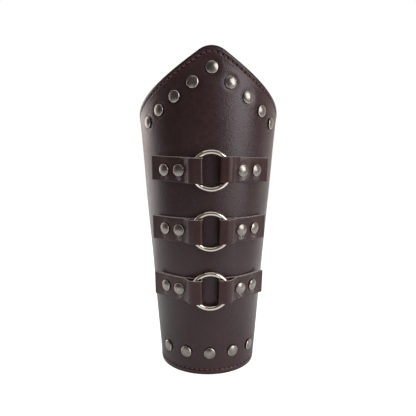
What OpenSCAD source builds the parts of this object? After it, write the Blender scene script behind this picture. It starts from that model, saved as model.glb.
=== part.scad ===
// Leather forearm bracer: a cone of lined leather, open at the back, with three rings in riveted straps.
// The arm's axis is +Z, the wrist hem lies in the plane z = 0 and the front faces -Y.

/* [Leather panel] */
// Outside radius of the panel at the wrist hem
wrist_r = 42.7; // [40:0.1:46]
// Outside radius gained per millimetre of height
taper = 0.088; // [0.07:0.002:0.11]
// Half of the angle that the panel wraps round the arm
half_wrap = 138; // [125:1:150]
// Thickness of the outer leather
panel_t = 1.8; // [1.2:0.1:2.6]
// Thickness of the lining
lining_t = 1; // [0.6:0.1:1.4]
// Height of the rounded elbow point above the wrist hem
tip_h = 265.8; // [258:0.2:275]
// Radius of the elbow point
tip_round = 18; // [12:0.5:24]
// Fall of the upper edge where it leaves the elbow point
edge_fall = 34; // [30:0.5:37]
// Radius of the upper edge's hollow curve, in the flat leather
edge_bow = 540; // [400:10:900]
// Radius of the four corners at the back
corner_r = 10; // [5:0.5:14]

/* [Rings] */
// Inside diameter of a ring
ring_in_d = 25.4; // [24.6:0.1:27]
// Wire diameter of a ring
ring_wire_d = 3.8; // [3:0.1:4.4]
// Height of the lower ring's centre
lower_row_z = 75.1; // [68:0.5:80]
// Height of the middle ring's centre
middle_row_z = 124.5; // [118:0.5:130]
// Height of the upper ring's centre
upper_row_z = 172.4; // [167:0.5:178]
// Gap between the wire and the leather that holds it
wire_clear = 0.3; // [0.2:0.05:0.6]

/* [Straps] */
// Width of a strap
strap_w = 20; // [17:0.2:21]
// Thickness of the strap leather, of which two layers lie on each other
strap_t = 1.2; // [0.9:0.05:1.5]
// Distance from the front line to a strap's outer end, along the leather
strap_reach = 52; // [49:0.5:57]
// Distance from the front line to a strap's inner rivet, along the leather
strap_rivet_in = 25.2; // [24.6:0.1:26.5]
// Distance from the front line to a strap's outer rivet, along the leather
strap_rivet_out = 38.7; // [37:0.1:42]
// Gap between leather layers that lie on each other
layer_gap = 0.1; // [0.05:0.05:0.2]

/* [Rivets] */
// Diameter of a rivet cap
cap_d = 10; // [8.6:0.1:10.6]
// Height of a rivet cap
cap_h = 2; // [1.8:0.1:2.6]
// Radius of the rolled rim round a rivet cap
cap_rim = 0.7; // [0.5:0.05:0.9]
// Diameter of the round foot behind the lining
foot_d = 8.6; // [7:0.1:9.4]
// Height of the round foot behind the lining
foot_h = 1; // [0.7:0.1:1.3]
// Diameter of a rivet's stem
stem_d = 3; // [2.4:0.1:3.6]
// Depth that a stem goes into its cap
stem_grip = 1.2; // [0.8:0.1:1.4]
// Gap round a stem and under a cap
rivet_clear = 0.05; // [0.03:0.01:0.1]
// Drop from the elbow point to the rivet below it, along the leather
elbow_rivet_drop = 16; // [14:0.5:22]
// Fall of the line of elbow rivets where it starts
elbow_rivet_fall = 36.7; // [35:0.1:40]
// Distance between elbow rivets
elbow_rivet_pitch = 18.2; // [16:0.1:19]
// Height of the wrist rivets
wrist_rivet_z = 19.5; // [14:0.5:24]
// Angle between wrist rivets
wrist_rivet_step = 26.4; // [20:0.2:30]

/* [Lace eyelets] */
// Number of eyelets at each side of the back opening
eyelet_count = 6; // [4:1:7]
// Height of the lowest eyelet
eyelet_low_z = 17; // [14:0.5:20]
// Distance of the highest eyelet from the upper edge
eyelet_from_edge = 22; // [18:0.5:28]
// Angle from the leather's back edge to the eyelets
eyelet_set_back = 14.5; // [12:0.5:18]
// Bore of an eyelet
eyelet_bore_d = 5; // [4:0.1:6]
// Diameter of an eyelet's flange
eyelet_flange_d = 9.6; // [9:0.1:11]
// Thickness of an eyelet's wall
eyelet_wall = 0.4; // [0.3:0.02:0.5]
// Thickness of the washer behind the lining
washer_t = 0.5; // [0.4:0.05:0.8]
// Diameter of the washer behind the lining
washer_d = 9.4; // [8.8:0.1:10.4]
// Gap round an eyelet and under its flange
eyelet_clear = 0.05; // [0.03:0.01:0.1]

/* [Hidden] */
$fn = 64;

leather_colour = "#3b2a28";
lining_colour = "#4a3a34";
strap_colour = "#4d3230";
nickel_colour = "#c9c2b8";
pewter_colour = "#8b857d";

wall_t = panel_t + lining_t;
half_cone = atan(taper);
apex_z = -wrist_r / taper;
ring_mid_r = (ring_in_d + ring_wire_d) / 2;
cap_r = cap_d / 2;
stem_r = stem_d / 2;
// share of its rim's height at which the dome of a rivet cap starts
dome_start = 0.85;
// the two layers of a strap, as high as they lie on the panel
stack_h = 2 * (strap_t + layer_gap);
// height of a ring's middle plane over the front line: its wire just clears the lower layers of the straps
ring_lift = strap_t + 2 * layer_gap + ring_wire_d / 2;
// steps along the outline, from the elbow point to one back corner
tip_steps = 6;
edge_steps = 22;
corner_steps = 6;
// what a cutting solid stands past the leather, and the angle that an uncut wall stands past it
cut_over = 4;
wrap_over = 4;
// rivets at each side of the front line, in the elbow's row and in the wrist's
elbow_pairs = 4;
wrist_pairs = 2;

// Radius of the outside of the panel at height z
function cone_r(z) = wrist_r + taper * z;

// Distance from the cone's apex, along the leather, at height z
function slant(z) = (z - apex_z) / cos(half_cone);

// Angle round the arm and height of a point of the flat leather, whose origin is the apex
function rolled(p) = [
  atan2(p[0], p[1]) / sin(half_cone),
  norm(p) * cos(half_cone) + apex_z,
];

// Unit vector of the flat leather at a clockwise angle from the front line
function compass(a) = [sin(a), cos(a)];

// Flat leather: the circles of the elbow point, the hollow upper edge and the rounded corners
back_a = half_wrap * sin(half_cone);
tip_mid = [0, slant(tip_h) - tip_round];
bow_mid = tip_mid + (edge_bow + tip_round) * compass(edge_fall);
along_back = compass(back_a);
off_back = compass(back_a + 90);
corner_from_bow = bow_mid + corner_r * off_back;
corner_run = along_back * bow_mid
  - sqrt(pow(along_back * bow_mid, 2) - corner_from_bow * corner_from_bow + pow(edge_bow + corner_r, 2));
top_corner_mid = corner_run * along_back - corner_r * off_back;
top_corner_fall = atan2((bow_mid - top_corner_mid)[0], (bow_mid - top_corner_mid)[1]);
low_corner_slant = slant(0) + corner_r;
low_corner_a = back_a - asin(corner_r / low_corner_slant);

// Point of the upper edge where it falls at angle a
function edge_point(a) = bow_mid - edge_bow * compass(a);

// Distance from the apex to the upper edge, at angle a of the flat leather
function edge_slant(a) =
  let (along = compass(a) * bow_mid)
  along - sqrt(pow(along, 2) - bow_mid * bow_mid + pow(edge_bow, 2));

// Upper outline of one half of the flat leather, from the elbow point to the back edge
upper_outline = concat(
  [for (i = [0 : tip_steps]) tip_mid + tip_round * compass(edge_fall * i / tip_steps)],
  [for (i = [1 : edge_steps]) edge_point(edge_fall + (top_corner_fall - edge_fall) * i / edge_steps)],
  [for (i = [1 : corner_steps])
    top_corner_mid
      + corner_r * compass(top_corner_fall + (back_a + 90 - top_corner_fall) * i / corner_steps)]
);

// Distance from the apex to the lower outline, at an angle of the flat leather
function lower_slant(a) =
  a <= low_corner_a
    ? slant(0) - cut_over
    : low_corner_slant * cos(a - low_corner_a)
      - sqrt(max(0, pow(corner_r, 2) - pow(low_corner_slant * sin(a - low_corner_a), 2)));

// Point of space over the leather: angle of the flat leather, distance from the apex, height over the outside
function over_leather(a, reach, h) =
  let (
    turn = a / sin(half_cone),
    r = reach * sin(half_cone) + h * cos(half_cone)
  )
  [r * sin(turn), -r * cos(turn), reach * cos(half_cone) + apex_z - h * sin(half_cone)];

// Places the children on the leather, +Z outwards: p holds the angle round the arm and the height
module on_leather(p, h = 0) {
  rotate([0, 0, p[0]])
    translate([0, -cone_r(p[1]), p[1]])
      rotate([90 + half_cone, 0, 0])
        translate([0, 0, h])
          children();
}

// A solid that fills the outline of the leather from well inside it to well outside it
module outline_block() {
  half = [for (p = upper_outline) [atan2(p[0], p[1]), norm(p)]];
  last = len(half) - 1;
  stations = concat([for (i = [last : -1 : 1]) [-half[i][0], half[i][1]]], half);
  count = len(stations);
  low_h = -wall_t - cut_over;
  points = [for (s = stations)
    each [
      over_leather(s[0], lower_slant(abs(s[0])), low_h),
      over_leather(s[0], s[1], low_h),
      over_leather(s[0], s[1], cut_over),
      over_leather(s[0], lower_slant(abs(s[0])), cut_over),
    ]
  ];
  sides = [for (i = [0 : count - 2], k = [0 : 3])
    let (a = 4 * i + k, b = 4 * i + (k + 1) % 4)
    each [[a, b + 4, b], [a, a + 4, b + 4]]
  ];
  end = 4 * (count - 1);
  polyhedron(
    points = points,
    faces = concat([[0, 1, 2, 3]], sides, [[end + 3, end + 2, end + 1, end]]),
    convexity = 6
  );
}

// Conical wall from the hem up, cut to the outline; depths are measured in from the outside
module leather_wall(depth, t) {
  outside = depth / cos(half_cone);
  inside = (depth + t) / cos(half_cone);
  top_z = tip_h + cut_over;
  intersection() {
    rotate_extrude(angle = 2 * (half_wrap + wrap_over), start = -90 - half_wrap - wrap_over)
      polygon([
        [cone_r(0) - inside, 0],
        [cone_r(0) - outside, 0],
        [cone_r(top_z) - outside, top_z],
        [cone_r(top_z) - inside, top_z],
      ]);
    outline_block();
  }
}

// Places of the fasteners: angle round the arm and height of each
elbow_rivet_mid = [0, slant(tip_h) - elbow_rivet_drop] + edge_bow * compass(elbow_rivet_fall);
elbow_rivet_turn = elbow_rivet_pitch / edge_bow * 180 / PI;
elbow_rivets = [for (i = [-elbow_pairs : elbow_pairs])
  let (p = rolled(elbow_rivet_mid - edge_bow * compass(elbow_rivet_fall - abs(i) * elbow_rivet_turn)))
  [sign(i) * p[0], p[1]]
];
wrist_rivets = [for (i = [-wrist_pairs : wrist_pairs]) [i * wrist_rivet_step, wrist_rivet_z]];
eyelet_turn = half_wrap - eyelet_set_back;
eyelet_high_z = edge_slant(eyelet_turn * sin(half_cone)) * cos(half_cone) + apex_z - eyelet_from_edge;
eyelet_pitch = (eyelet_high_z - eyelet_low_z) / (eyelet_count - 1);
function eyelets(side) = [for (i = [0 : eyelet_count - 1])
  [side * eyelet_turn, eyelet_low_z + i * eyelet_pitch]
];

// A row of straps lies in a plane square to the front line. Angle round the arm, s along the leather
function row_turn(z, s) = atan(s / slant(z)) / sin(half_cone);

// Distance from the apex to the row's line, at an angle round the arm
function row_slant(z, turn) = slant(z) / (1 - pow(sin(half_cone), 2) * (1 - cos(turn)));

// Place of a point of a row, s along the leather from the front line
function row_place(z, s) =
  let (turn = row_turn(z, s))
  [turn, row_slant(z, turn) * cos(half_cone) + apex_z];

function strap_rivets(z, side) = [for (s = [strap_rivet_in, strap_rivet_out]) row_place(z, side * s)];
function row_rivets(z) = concat(strap_rivets(z, -1), strap_rivets(z, 1));
rows = [lower_row_z, middle_row_z, upper_row_z];

// Every hole that goes through the panel and the lining
module leather_holes() {
  rivets = concat(elbow_rivets, wrist_rivets, [for (z = rows) each row_rivets(z)]);
  for (p = rivets) {
    on_leather(p, -wall_t - cut_over)
      cylinder(r = stem_r + rivet_clear, h = wall_t + 2 * cut_over);
  }
  for (side = [-1, 1], p = eyelets(side)) {
    on_leather(p, -wall_t - cut_over)
      cylinder(r = eyelet_barrel_r + eyelet_clear, h = wall_t + 2 * cut_over);
  }
}

module outer_panel() {
  color(leather_colour)
    difference() {
      leather_wall(0, panel_t);
      leather_holes();
    }
}

module lining() {
  color(lining_colour)
    difference() {
      leather_wall(panel_t, lining_t);
      leather_holes();
    }
}

// Arc of radius r that rounds the corner b between a and c
function rounded(a, b, c, r, steps = 6) =
  let (
    u = (a - b) / norm(a - b),
    v = (c - b) / norm(c - b),
    half = acos(u * v) / 2,
    mid = b + (u + v) / norm(u + v) * r / sin(half),
    from = b + u * r / tan(half) - mid,
    turn = (u[0] * v[1] - u[1] * v[0] > 0 ? -1 : 1) * (180 - 2 * half)
  )
  [for (i = [0 : steps])
    let (t = turn * i / steps)
    mid + [from[0] * cos(t) - from[1] * sin(t), from[0] * sin(t) + from[1] * cos(t)]
  ];

// Direction out of the leather in the row's own plane, at an angle round the arm
function row_out(turn) =
  let (out = [cos(half_cone) * sin(turn), pow(cos(half_cone), 2) * cos(turn) + pow(sin(half_cone), 2)])
  out / norm(out);

// Point of the row's own plane, s along the strap from the front line and h over the leather;
// past its outer rivet the strap stays flat, so its end stands off the leather
function over_row(z, s, h) =
  let (
    held = min(s, strap_rivet_out),
    turn = row_turn(z, held),
    r = row_slant(z, turn) * sin(half_cone),
    out = row_out(turn)
  )
  [r * sin(turn), -r * cos(half_cone) * (1 - cos(turn))] + (s - held) * [out[1], -out[0]] + h * out;

// Bends of a folded strap: inside the ring, and beside the rivet; and the steps of a flat run
fold_r = 1.7;
foot_r = 1.6;
run_steps = 9;
// how far a strap's middle line stays off the middle of the wire that it goes round
wrap_r = ring_wire_d / 2 + wire_clear + strap_t / 2;
fold_x = sqrt(pow(ring_in_d / 2, 2) - pow(strap_w / 2, 2)) - wire_clear - strap_t / 2;
// where a strap's slope meets the leather again: its bend ends under the rim of the rivet cap
foot_run = foot_r * 0.4;
foot_s = strap_rivet_in - cap_r + cap_rim - foot_run;

// Middle line of a folded strap: in along the panel, up inside the ring, over its wire and down a slope
// that just clears the wire; slope_a is how steeply it falls
function strap_line(z) =
  let (
    low_h = layer_gap + strap_t / 2,
    high_h = low_h + strap_t + layer_gap,
    over_y = ring_lift + wrap_r,
    low_start = fold_x + 2 * fold_r,
    high_start = foot_s + foot_r,
    low = [for (i = [0 : run_steps])
      over_row(z, strap_rivet_out + (low_start - strap_rivet_out) * i / run_steps, low_h)],
    high = [for (i = [0 : run_steps])
      over_row(z, high_start + (strap_rivet_out - high_start) * i / run_steps, high_h)],
    fold_low = over_row(z, fold_x, low_h),
    fold_high = [fold_x, over_y],
    foot = over_row(z, foot_s, high_h),
    away = foot - [ring_mid_r, ring_lift],
    slope_a = 90 - atan2(away[1], away[0]) - acos(wrap_r / norm(away)),
    drop = [ring_mid_r + wrap_r * tan(slope_a / 2), over_y]
  )
  concat(
    [over_row(z, strap_reach + cut_over, low_h)],
    low,
    rounded(low[run_steps], fold_low, fold_high, fold_r),
    rounded(fold_low, fold_high, drop, fold_r),
    rounded(fold_high, drop, foot, wrap_r),
    rounded(drop, foot, high[0], foot_r),
    high,
    [over_row(z, strap_reach + cut_over, high_h)]
  );

// Outline of a band of thickness t along a line
function band(line, t) =
  let (
    last = len(line) - 1,
    sideways = [for (i = [0 : last])
      let (d = line[min(i + 1, last)] - line[max(i - 1, 0)])
      [-d[1], d[0]] / norm(d) * t / 2]
  )
  concat(
    [for (i = [0 : last]) line[i] + sideways[i]],
    [for (i = [last : -1 : 0]) line[i] - sideways[i]]
  );

// What is cut off square past the end of a strap, in the row's own plane and across it
module past_the_end(z) {
  out = row_out(row_turn(z, strap_rivet_out));
  translate(over_row(z, strap_reach, stack_h / 2))
    rotate([0, 0, atan2(-out[0], out[1])])
      translate([0, -cut_over, -strap_w])
        cube([3 * cut_over, 2 * cut_over, 2 * strap_w]);
}

// A folded strap, which follows the cone round the arm; side is 1 at the right and -1 at the left
module strap(z, side) {
  reach = slant(z);
  grow = (reach + strap_w / 2) / reach;
  shrink = (reach - strap_w / 2) / (reach + strap_w / 2);
  color(strap_colour)
    difference() {
      mirror([1 - side, 0, 0])
        translate([0, -cone_r(z), z])
          rotate([180 + half_cone, 0, 0])
            difference() {
              translate([0, 0, -strap_w / 2])
                linear_extrude(height = strap_w, scale = shrink)
                  scale(grow)
                    polygon(band(strap_line(z), strap_t));
              past_the_end(z);
            }
      for (p = strap_rivets(z, side)) {
        on_leather(p, -cut_over)
          cylinder(r = stem_r + rivet_clear, h = stack_h + 2 * cut_over);
      }
    }
}

// A round wire ring, which lies over the front line
module ring(z) {
  color(nickel_colour)
    on_leather([0, z], ring_lift)
      rotate_extrude($fn = 96)
        translate([ring_mid_r, 0])
          circle(d = ring_wire_d, $fn = 32);
}

// Profile of a shallow dome of radius r and height h on the axis, from y = 0 up
module dome_profile(r, h) {
  ball_r = (r * r + h * h) / (2 * h);
  intersection() {
    translate([0, h - ball_r])
      circle(r = ball_r, $fn = 180);
    square([r, h]);
  }
}

// A rivet cap: a low dome inside a rolled rim, with a blind socket for its stem; h is the height of its seat
module rivet_cap(h) {
  rim_mid = cap_r - cap_rim;
  dome_y = dome_start * 2 * cap_rim;
  translate([0, 0, h + rivet_clear])
    rotate_extrude()
      difference() {
        union() {
          translate([0, dome_y])
            dome_profile(rim_mid, cap_h - dome_y);
          translate([rim_mid, cap_rim])
            circle(r = cap_rim, $fn = 32);
          square([rim_mid, dome_y]);
        }
        square([stem_r + rivet_clear, stem_grip + rivet_clear]);
      }
}

// How far a round foot of radius r is kept off the lining by the hollow of the cone at height z
function hollow(z, r) = r * r / (2 * (cone_r(z) - wall_t));

// A stem with a domed foot behind the lining; h is the height of the cap's seat
module rivet_post(z, h) {
  seat = -wall_t - hollow(z, foot_d / 2) - rivet_clear;
  rotate_extrude()
    union() {
      translate([0, seat])
        mirror([0, 1])
          dome_profile(foot_d / 2, foot_h);
      translate([0, seat])
        square([stem_r, h + stem_grip - seat]);
    }
}

module rivet_caps(places, h = 0) {
  color(pewter_colour)
    for (p = places) {
      on_leather(p)
        rivet_cap(h);
    }
}

module rivet_posts(places, h = 0) {
  color(pewter_colour)
    for (p = places) {
      on_leather(p)
        rivet_post(p[1], h);
    }
}

// An eyelet: a rolled flange outside, a straight barrel and a lip rolled over the washer inside
eyelet_barrel_r = eyelet_bore_d / 2 + eyelet_wall;
lip_r = eyelet_barrel_r + 2 * eyelet_wall;
function washer_seat(z) = wall_t + hollow(z, washer_d / 2) + eyelet_clear;
function barrel_depth(z) = washer_seat(z) + washer_t + eyelet_clear + eyelet_wall;

// Profile of a flat ring with round edges, two walls thick, round the bore at height y
module rolled_profile(y, outer_r) {
  inner = eyelet_barrel_r;
  translate([inner, y - eyelet_wall])
    square([outer_r - eyelet_wall - inner, 2 * eyelet_wall]);
  for (x = [inner, outer_r - eyelet_wall]) {
    translate([x, y])
      circle(r = eyelet_wall, $fn = 32);
  }
}

module eyelet(z) {
  flange_y = eyelet_clear + eyelet_wall;
  rotate_extrude()
    union() {
      rolled_profile(flange_y, eyelet_flange_d / 2);
      rolled_profile(-barrel_depth(z), lip_r);
      translate([eyelet_bore_d / 2, -barrel_depth(z)])
        square([eyelet_wall, barrel_depth(z) + flange_y]);
    }
}

module eyelet_column(side) {
  color(nickel_colour)
    for (p = eyelets(side)) {
      on_leather(p)
        eyelet(p[1]);
    }
}

module washer_column(side) {
  color(nickel_colour)
    for (p = eyelets(side)) {
      on_leather(p, -washer_seat(p[1]) - washer_t)
        difference() {
          cylinder(d = washer_d, h = washer_t);
          translate([0, 0, -cut_over])
            cylinder(r = eyelet_barrel_r + eyelet_clear, h = washer_t + 2 * cut_over);
        }
    }
}

module upper_left_strap() { strap(upper_row_z, -1); }
module upper_right_strap() { strap(upper_row_z, 1); }
module middle_left_strap() { strap(middle_row_z, -1); }
module middle_right_strap() { strap(middle_row_z, 1); }
module lower_left_strap() { strap(lower_row_z, -1); }
module lower_right_strap() { strap(lower_row_z, 1); }
module upper_ring() { ring(upper_row_z); }
module middle_ring() { ring(middle_row_z); }
module lower_ring() { ring(lower_row_z); }
module elbow_rivet_caps() { rivet_caps(elbow_rivets); }
module elbow_rivet_posts() { rivet_posts(elbow_rivets); }
module wrist_rivet_caps() { rivet_caps(wrist_rivets); }
module wrist_rivet_posts() { rivet_posts(wrist_rivets); }
module upper_strap_rivet_caps() { rivet_caps(row_rivets(upper_row_z), stack_h); }
module upper_strap_rivet_posts() { rivet_posts(row_rivets(upper_row_z), stack_h); }
module middle_strap_rivet_caps() { rivet_caps(row_rivets(middle_row_z), stack_h); }
module middle_strap_rivet_posts() { rivet_posts(row_rivets(middle_row_z), stack_h); }
module lower_strap_rivet_caps() { rivet_caps(row_rivets(lower_row_z), stack_h); }
module lower_strap_rivet_posts() { rivet_posts(row_rivets(lower_row_z), stack_h); }
module left_eyelets() { eyelet_column(-1); }
module right_eyelets() { eyelet_column(1); }
module left_eyelet_washers() { washer_column(-1); }
module right_eyelet_washers() { washer_column(1); }

outer_panel();
lining();
upper_left_strap();
upper_right_strap();
middle_left_strap();
middle_right_strap();
lower_left_strap();
lower_right_strap();
upper_ring();
middle_ring();
lower_ring();
elbow_rivet_caps();
elbow_rivet_posts();
wrist_rivet_caps();
wrist_rivet_posts();
upper_strap_rivet_caps();
upper_strap_rivet_posts();
middle_strap_rivet_caps();
middle_strap_rivet_posts();
lower_strap_rivet_caps();
lower_strap_rivet_posts();
left_eyelets();
right_eyelets();
left_eyelet_washers();
right_eyelet_washers();
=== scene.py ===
"""Looks of the leather bracer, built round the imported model. Sizes are in mm until a mesh is made."""
import math

import bpy
import numpy as np
from mathutils import Matrix, Vector


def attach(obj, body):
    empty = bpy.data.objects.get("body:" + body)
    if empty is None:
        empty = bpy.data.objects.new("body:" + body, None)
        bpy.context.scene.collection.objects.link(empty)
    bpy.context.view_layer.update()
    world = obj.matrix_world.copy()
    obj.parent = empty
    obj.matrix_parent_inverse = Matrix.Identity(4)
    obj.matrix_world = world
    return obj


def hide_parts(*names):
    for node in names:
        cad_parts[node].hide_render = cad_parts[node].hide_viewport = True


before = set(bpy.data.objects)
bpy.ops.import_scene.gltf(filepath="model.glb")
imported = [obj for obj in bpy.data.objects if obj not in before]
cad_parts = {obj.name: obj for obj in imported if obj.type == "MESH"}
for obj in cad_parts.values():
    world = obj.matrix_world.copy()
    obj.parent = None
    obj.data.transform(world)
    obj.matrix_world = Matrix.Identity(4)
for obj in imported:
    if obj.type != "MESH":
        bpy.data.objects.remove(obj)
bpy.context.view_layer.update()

MM = 0.001

# The leather cone, as the model has it
WRIST_R, TAPER, HALF_WRAP = 42.7, 0.088, 138.0
PANEL_T, LINING_T = 1.8, 1.0
WALL_T = PANEL_T + LINING_T
TIP_H, TIP_ROUND, EDGE_FALL, EDGE_BOW, CORNER_R = 265.8, 18.0, 34.0, 540.0, 10.0
RING_R, WIRE_R = 14.6, 1.9
ROWS = {"lower": 75.1, "middle": 124.5, "upper": 172.4}
STRAP_W, STRAP_T, STRAP_REACH, LAYER_GAP, WIRE_CLEAR = 20.0, 1.2, 52.0, 0.1, 0.3
RIVET_IN, RIVET_OUT = 25.2, 38.7
CAP_R, CAP_H, CAP_RIM, SEAT = 5.0, 2.0, 0.7, 0.05
STACK_H = 2 * (STRAP_T + LAYER_GAP)
RING_LIFT = STRAP_T + 2 * LAYER_GAP + WIRE_R
EYELET_TURN, EYELET_LOW, EYELET_HIGH, EYELET_COUNT = 123.5, 17.0, 192.043, 6

HALF_CONE = math.atan(TAPER)
SIN, COS = math.sin(HALF_CONE), math.cos(HALF_CONE)
APEX = -WRIST_R / TAPER


def compass(a):
    """Unit vector of the flat leather at a clockwise angle in degrees."""
    return np.array([math.sin(math.radians(a)), math.cos(math.radians(a))])


def cone_r(z):
    return WRIST_R + TAPER * z


def slant(z):
    return (z - APEX) / COS


def over_leather(flat, h):
    """Points of space, h over the outside of the leather, for points of the flat leather."""
    flat = np.asarray(flat, float)
    reach = np.hypot(flat[..., 0], flat[..., 1])
    turn = np.arctan2(flat[..., 0], flat[..., 1]) / SIN
    r = reach * SIN + h * COS
    return np.stack([r * np.sin(turn), -r * np.cos(turn), reach * COS + APEX - h * SIN], -1)


def outward(flat):
    turn = np.arctan2(flat[..., 0], flat[..., 1]) / SIN
    return np.stack([np.sin(turn) * COS, -np.cos(turn) * COS, np.full(turn.shape, -SIN)], -1)


def flat_place(turn, z):
    """Point of the flat leather, from the angle round the arm in degrees and the height."""
    return slant(z) * compass(turn * SIN)


# The outline of the flat leather
BACK_A = HALF_WRAP * SIN
TIP_MID = np.array([0.0, slant(TIP_H) - TIP_ROUND])
BOW_MID = TIP_MID + (EDGE_BOW + TIP_ROUND) * compass(EDGE_FALL)
ALONG_BACK, OFF_BACK = compass(BACK_A), compass(BACK_A + 90)
corner_from_bow = BOW_MID + CORNER_R * OFF_BACK
corner_run = ALONG_BACK @ BOW_MID - math.sqrt(
    (ALONG_BACK @ BOW_MID) ** 2 - corner_from_bow @ corner_from_bow + (EDGE_BOW + CORNER_R) ** 2
)
TOP_CORNER = corner_run * ALONG_BACK - CORNER_R * OFF_BACK
TOP_FALL = math.degrees(math.atan2(*(BOW_MID - TOP_CORNER)))
LOW_REACH = slant(0) + CORNER_R
LOW_A = BACK_A - math.degrees(math.asin(CORNER_R / LOW_REACH))
LOW_CORNER = LOW_REACH * compass(LOW_A)


def depth_inside(flat):
    """Distance of points of the flat leather from its outline, positive inside."""
    u, v = np.abs(flat[..., 0]), flat[..., 1]
    reach = np.hypot(u, v)
    p = np.stack([u, v], -1)
    from_tip = p - TIP_MID
    top = np.where(
        np.degrees(np.arctan2(from_tip[..., 0], from_tip[..., 1])) <= EDGE_FALL,
        TIP_ROUND - np.linalg.norm(from_tip, axis=-1),
        np.linalg.norm(p - BOW_MID, axis=-1) - EDGE_BOW,
    )
    back = -(p @ OFF_BACK)
    d = np.minimum(np.minimum(top, back), reach - slant(0))
    for mid, a0, a1 in ((TOP_CORNER, TOP_FALL, BACK_A + 90), (LOW_CORNER, BACK_A + 90, LOW_A + 180)):
        q = p - mid
        a = np.degrees(np.arctan2(q[..., 0], q[..., 1]))
        d = np.where((a >= a0) & (a <= a1), CORNER_R - np.linalg.norm(q, axis=-1), d)
    return d


def upper_reach(a):
    """Distance from the apex to the upper outline, at angles of the flat leather in degrees."""
    a = np.abs(np.atleast_1d(a))
    out = np.empty(a.shape)
    for i, x in enumerate(a):
        c = compass(x)
        best = c @ BOW_MID - math.sqrt(max(0.0, (c @ BOW_MID) ** 2 - BOW_MID @ BOW_MID + EDGE_BOW**2))
        side = math.sqrt(max(0.0, TIP_ROUND**2 - (TIP_MID[1] * math.sin(math.radians(x))) ** 2))
        tip = TIP_MID[1] * math.cos(math.radians(x)) + side
        tip_point = tip * c - TIP_MID
        if math.degrees(math.atan2(tip_point[0], tip_point[1])) <= EDGE_FALL and side > 0:
            best = tip
        m = c @ TOP_CORNER
        rest = CORNER_R**2 - (TOP_CORNER @ TOP_CORNER - m * m)
        if rest >= 0:
            corner = m + math.sqrt(rest)
            q = corner * c - TOP_CORNER
            if math.degrees(math.atan2(q[0], q[1])) >= TOP_FALL:
                best = corner
        out[i] = best
    return out


def lower_reach(a):
    a = np.radians(np.abs(np.atleast_1d(a)))
    low = np.radians(LOW_A)
    inner = np.maximum(0, CORNER_R**2 - (LOW_REACH * np.sin(a - low)) ** 2)
    return np.where(a <= low, slant(0), LOW_REACH * np.cos(a - low) - np.sqrt(inner))


# Places of the fasteners: angle round the arm in degrees and height
ELBOW_SET_BACK, ELBOW_FALL, ELBOW_PITCH, ELBOW_EACH_SIDE = 16.0, 36.7, 18.2, 4
WRIST_TURN, WRIST_Z, WRIST_EACH_SIDE = 26.4, 19.5, 2
ELBOW_MID = np.array([0, slant(TIP_H) - ELBOW_SET_BACK]) + EDGE_BOW * compass(ELBOW_FALL)
elbow_rivets = []
for i in range(-ELBOW_EACH_SIDE, ELBOW_EACH_SIDE + 1):
    p = ELBOW_MID - EDGE_BOW * compass(ELBOW_FALL - abs(i) * math.degrees(ELBOW_PITCH / EDGE_BOW))
    turn = math.degrees(math.atan2(p[0], p[1])) / SIN
    elbow_rivets.append((math.copysign(turn, i) if i else 0.0, np.linalg.norm(p) * COS + APEX))
wrist_rivets = [(WRIST_TURN * i, WRIST_Z) for i in range(-WRIST_EACH_SIDE, WRIST_EACH_SIDE + 1)]


def row_turn(z, s):
    """Angle round the arm, in radians, of the point at s from the middle of the row at height z."""
    return np.arctan(np.asarray(s, float) / slant(z)) / SIN


def row_slant(z, turn):
    """Distance from the apex to the leather at that angle, in the row's own plane."""
    return slant(z) / (1 - SIN**2 * (1 - np.cos(turn)))


def row_rivets(z):
    places = []
    for side in (-1, 1):
        for s in (RIVET_IN, RIVET_OUT):
            turn = float(row_turn(z, side * s))
            places.append((math.degrees(turn), float(row_slant(z, turn)) * COS + APEX))
    return places


eyelets = [
    (side * EYELET_TURN, EYELET_LOW + i * (EYELET_HIGH - EYELET_LOW) / (EYELET_COUNT - 1))
    for side in (-1, 1)
    for i in range(EYELET_COUNT)
]


def smooth(a, b, x):
    """A smooth step from 0 at a to 1 at b."""
    t = np.clip((x - a) / (b - a), 0, 1)
    return t * t * (3 - 2 * t)


def bell(x, width):
    """A smooth bump, 1 at 0 and almost gone at twice its width."""
    return np.exp(-((x / width) ** 2))


# The camera, fitted to the photograph's outline, rivets and rings
FOCAL_PX, IMAGE_PX, SENSOR = 375.6, 416, 36.0
CAM_X, CAM_DISTANCE, CAM_HEIGHT = 0.20, 353.33, 160.75
PITCH, ROLL, YAW = math.radians(3.43), math.radians(-0.1711), math.radians(2.5154)
right = Vector((1, 0, 0))
up = Vector((0, math.sin(PITCH), math.cos(PITCH)))
forward = Vector((0, math.cos(PITCH), -math.sin(PITCH)))
cam_right = math.cos(ROLL) * right - math.sin(ROLL) * up
cam_up = math.sin(ROLL) * right + math.cos(ROLL) * up
turn_back = Matrix.Rotation(-YAW, 4, "Z")
cam_axes = Matrix((cam_right, cam_up, -forward)).transposed().to_4x4()
camera_data = bpy.data.cameras.new("photo_camera")
camera_data.sensor_width = SENSOR
camera_data.lens = FOCAL_PX / IMAGE_PX * SENSOR
camera_data.clip_start = 0.01
camera = bpy.data.objects.new("photo_camera", camera_data)
bpy.context.scene.collection.objects.link(camera)
camera_place = Matrix.Translation(Vector((CAM_X, -CAM_DISTANCE, CAM_HEIGHT)) * MM)
camera.matrix_world = turn_back @ camera_place @ cam_axes
bpy.context.scene.camera = camera


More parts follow.
